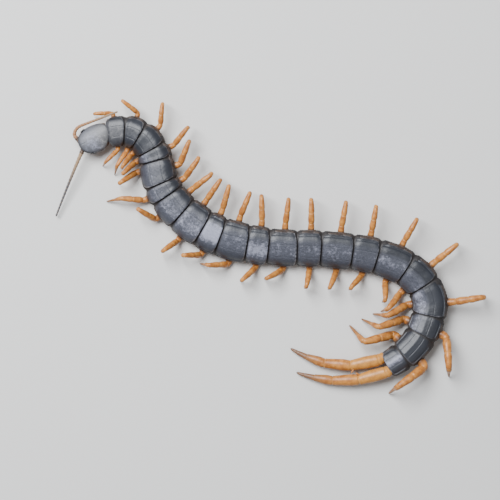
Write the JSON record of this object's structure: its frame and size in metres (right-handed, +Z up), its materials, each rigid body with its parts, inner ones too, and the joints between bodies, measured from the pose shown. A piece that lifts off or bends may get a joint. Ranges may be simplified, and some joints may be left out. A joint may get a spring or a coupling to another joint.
{
  "type": "giant centipede model",
  "caption": "Life-size model of a giant centipede at rest on the floor: long plated trunk in a curve, walking legs, antennae, venom claws and trailing last legs.",
  "frame": {"origin": "bottom centre of the whole model's bounding box, on the floor it stands on", "axes": "+Z up; +X along the longest extent, away from the head, so the head lies toward -X; +Y toward the animal's right side"},
  "size_m": [0.1269, 0.0868, 0.009],
  "materials": {
    "plates": "dark slate chitin, satin",
    "head_plate": "dark grey chitin, satin",
    "legs": "orange translucent chitin, satin",
    "antennae": "grey brown, finely haired",
    "forcipules": "red orange chitin with dark tips",
    "membrane": "dark brown folded membrane",
    "eyes": "black, glossy",
    "claws": "dark brown to black chitin"
  },
  "bodies": {
    "root": {"trunk_01": "plates", "trunk_02_03": "plates", "trunk_04_05": "plates", "trunk_06_07": "plates", "trunk_08_09": "plates", "trunk_10_11": "plates", "trunk_12_13": "plates", "trunk_14_15": "plates", "trunk_16_17": "plates", "trunk_18_19": "plates", "trunk_20_21": "plates", "head": "head_plate", "forcipule_plate": "forcipules", "forcipule_left": "forcipules", "forcipule_right": "forcipules", "antenna_left": "antennae", "antenna_right": "antennae", "leg_left_01": "legs", "leg_left_02": "legs", "leg_left_03": "legs", "leg_left_04": "legs", "leg_left_05": "legs", "leg_left_06": "legs", "leg_left_07": "legs", "leg_left_08": "legs", "leg_left_09": "legs", "leg_left_10": "legs", "leg_left_11": "legs", "leg_left_12": "legs", "leg_left_13": "legs", "leg_left_14": "legs", "leg_left_15": "legs", "leg_left_16": "legs", "leg_left_17": "legs", "leg_left_18": "legs", "leg_left_19": "legs", "leg_left_20": "legs", "leg_left_21": "legs", "leg_right_01": "legs", "leg_right_02": "legs", "leg_right_03": "legs", "leg_right_04": "legs", "leg_right_05": "legs", "leg_right_06": "legs", "leg_right_07": "legs", "leg_right_08": "legs", "leg_right_09": "legs", "leg_right_10": "legs", "leg_right_11": "legs", "leg_right_12": "legs", "leg_right_13": "legs", "leg_right_14": "legs", "leg_right_15": "legs", "leg_right_16": "legs", "leg_right_17": "legs", "leg_right_18": "legs", "leg_right_19": "legs", "leg_right_20": "legs", "leg_right_21": "legs"}
  },
  "joints": []
}
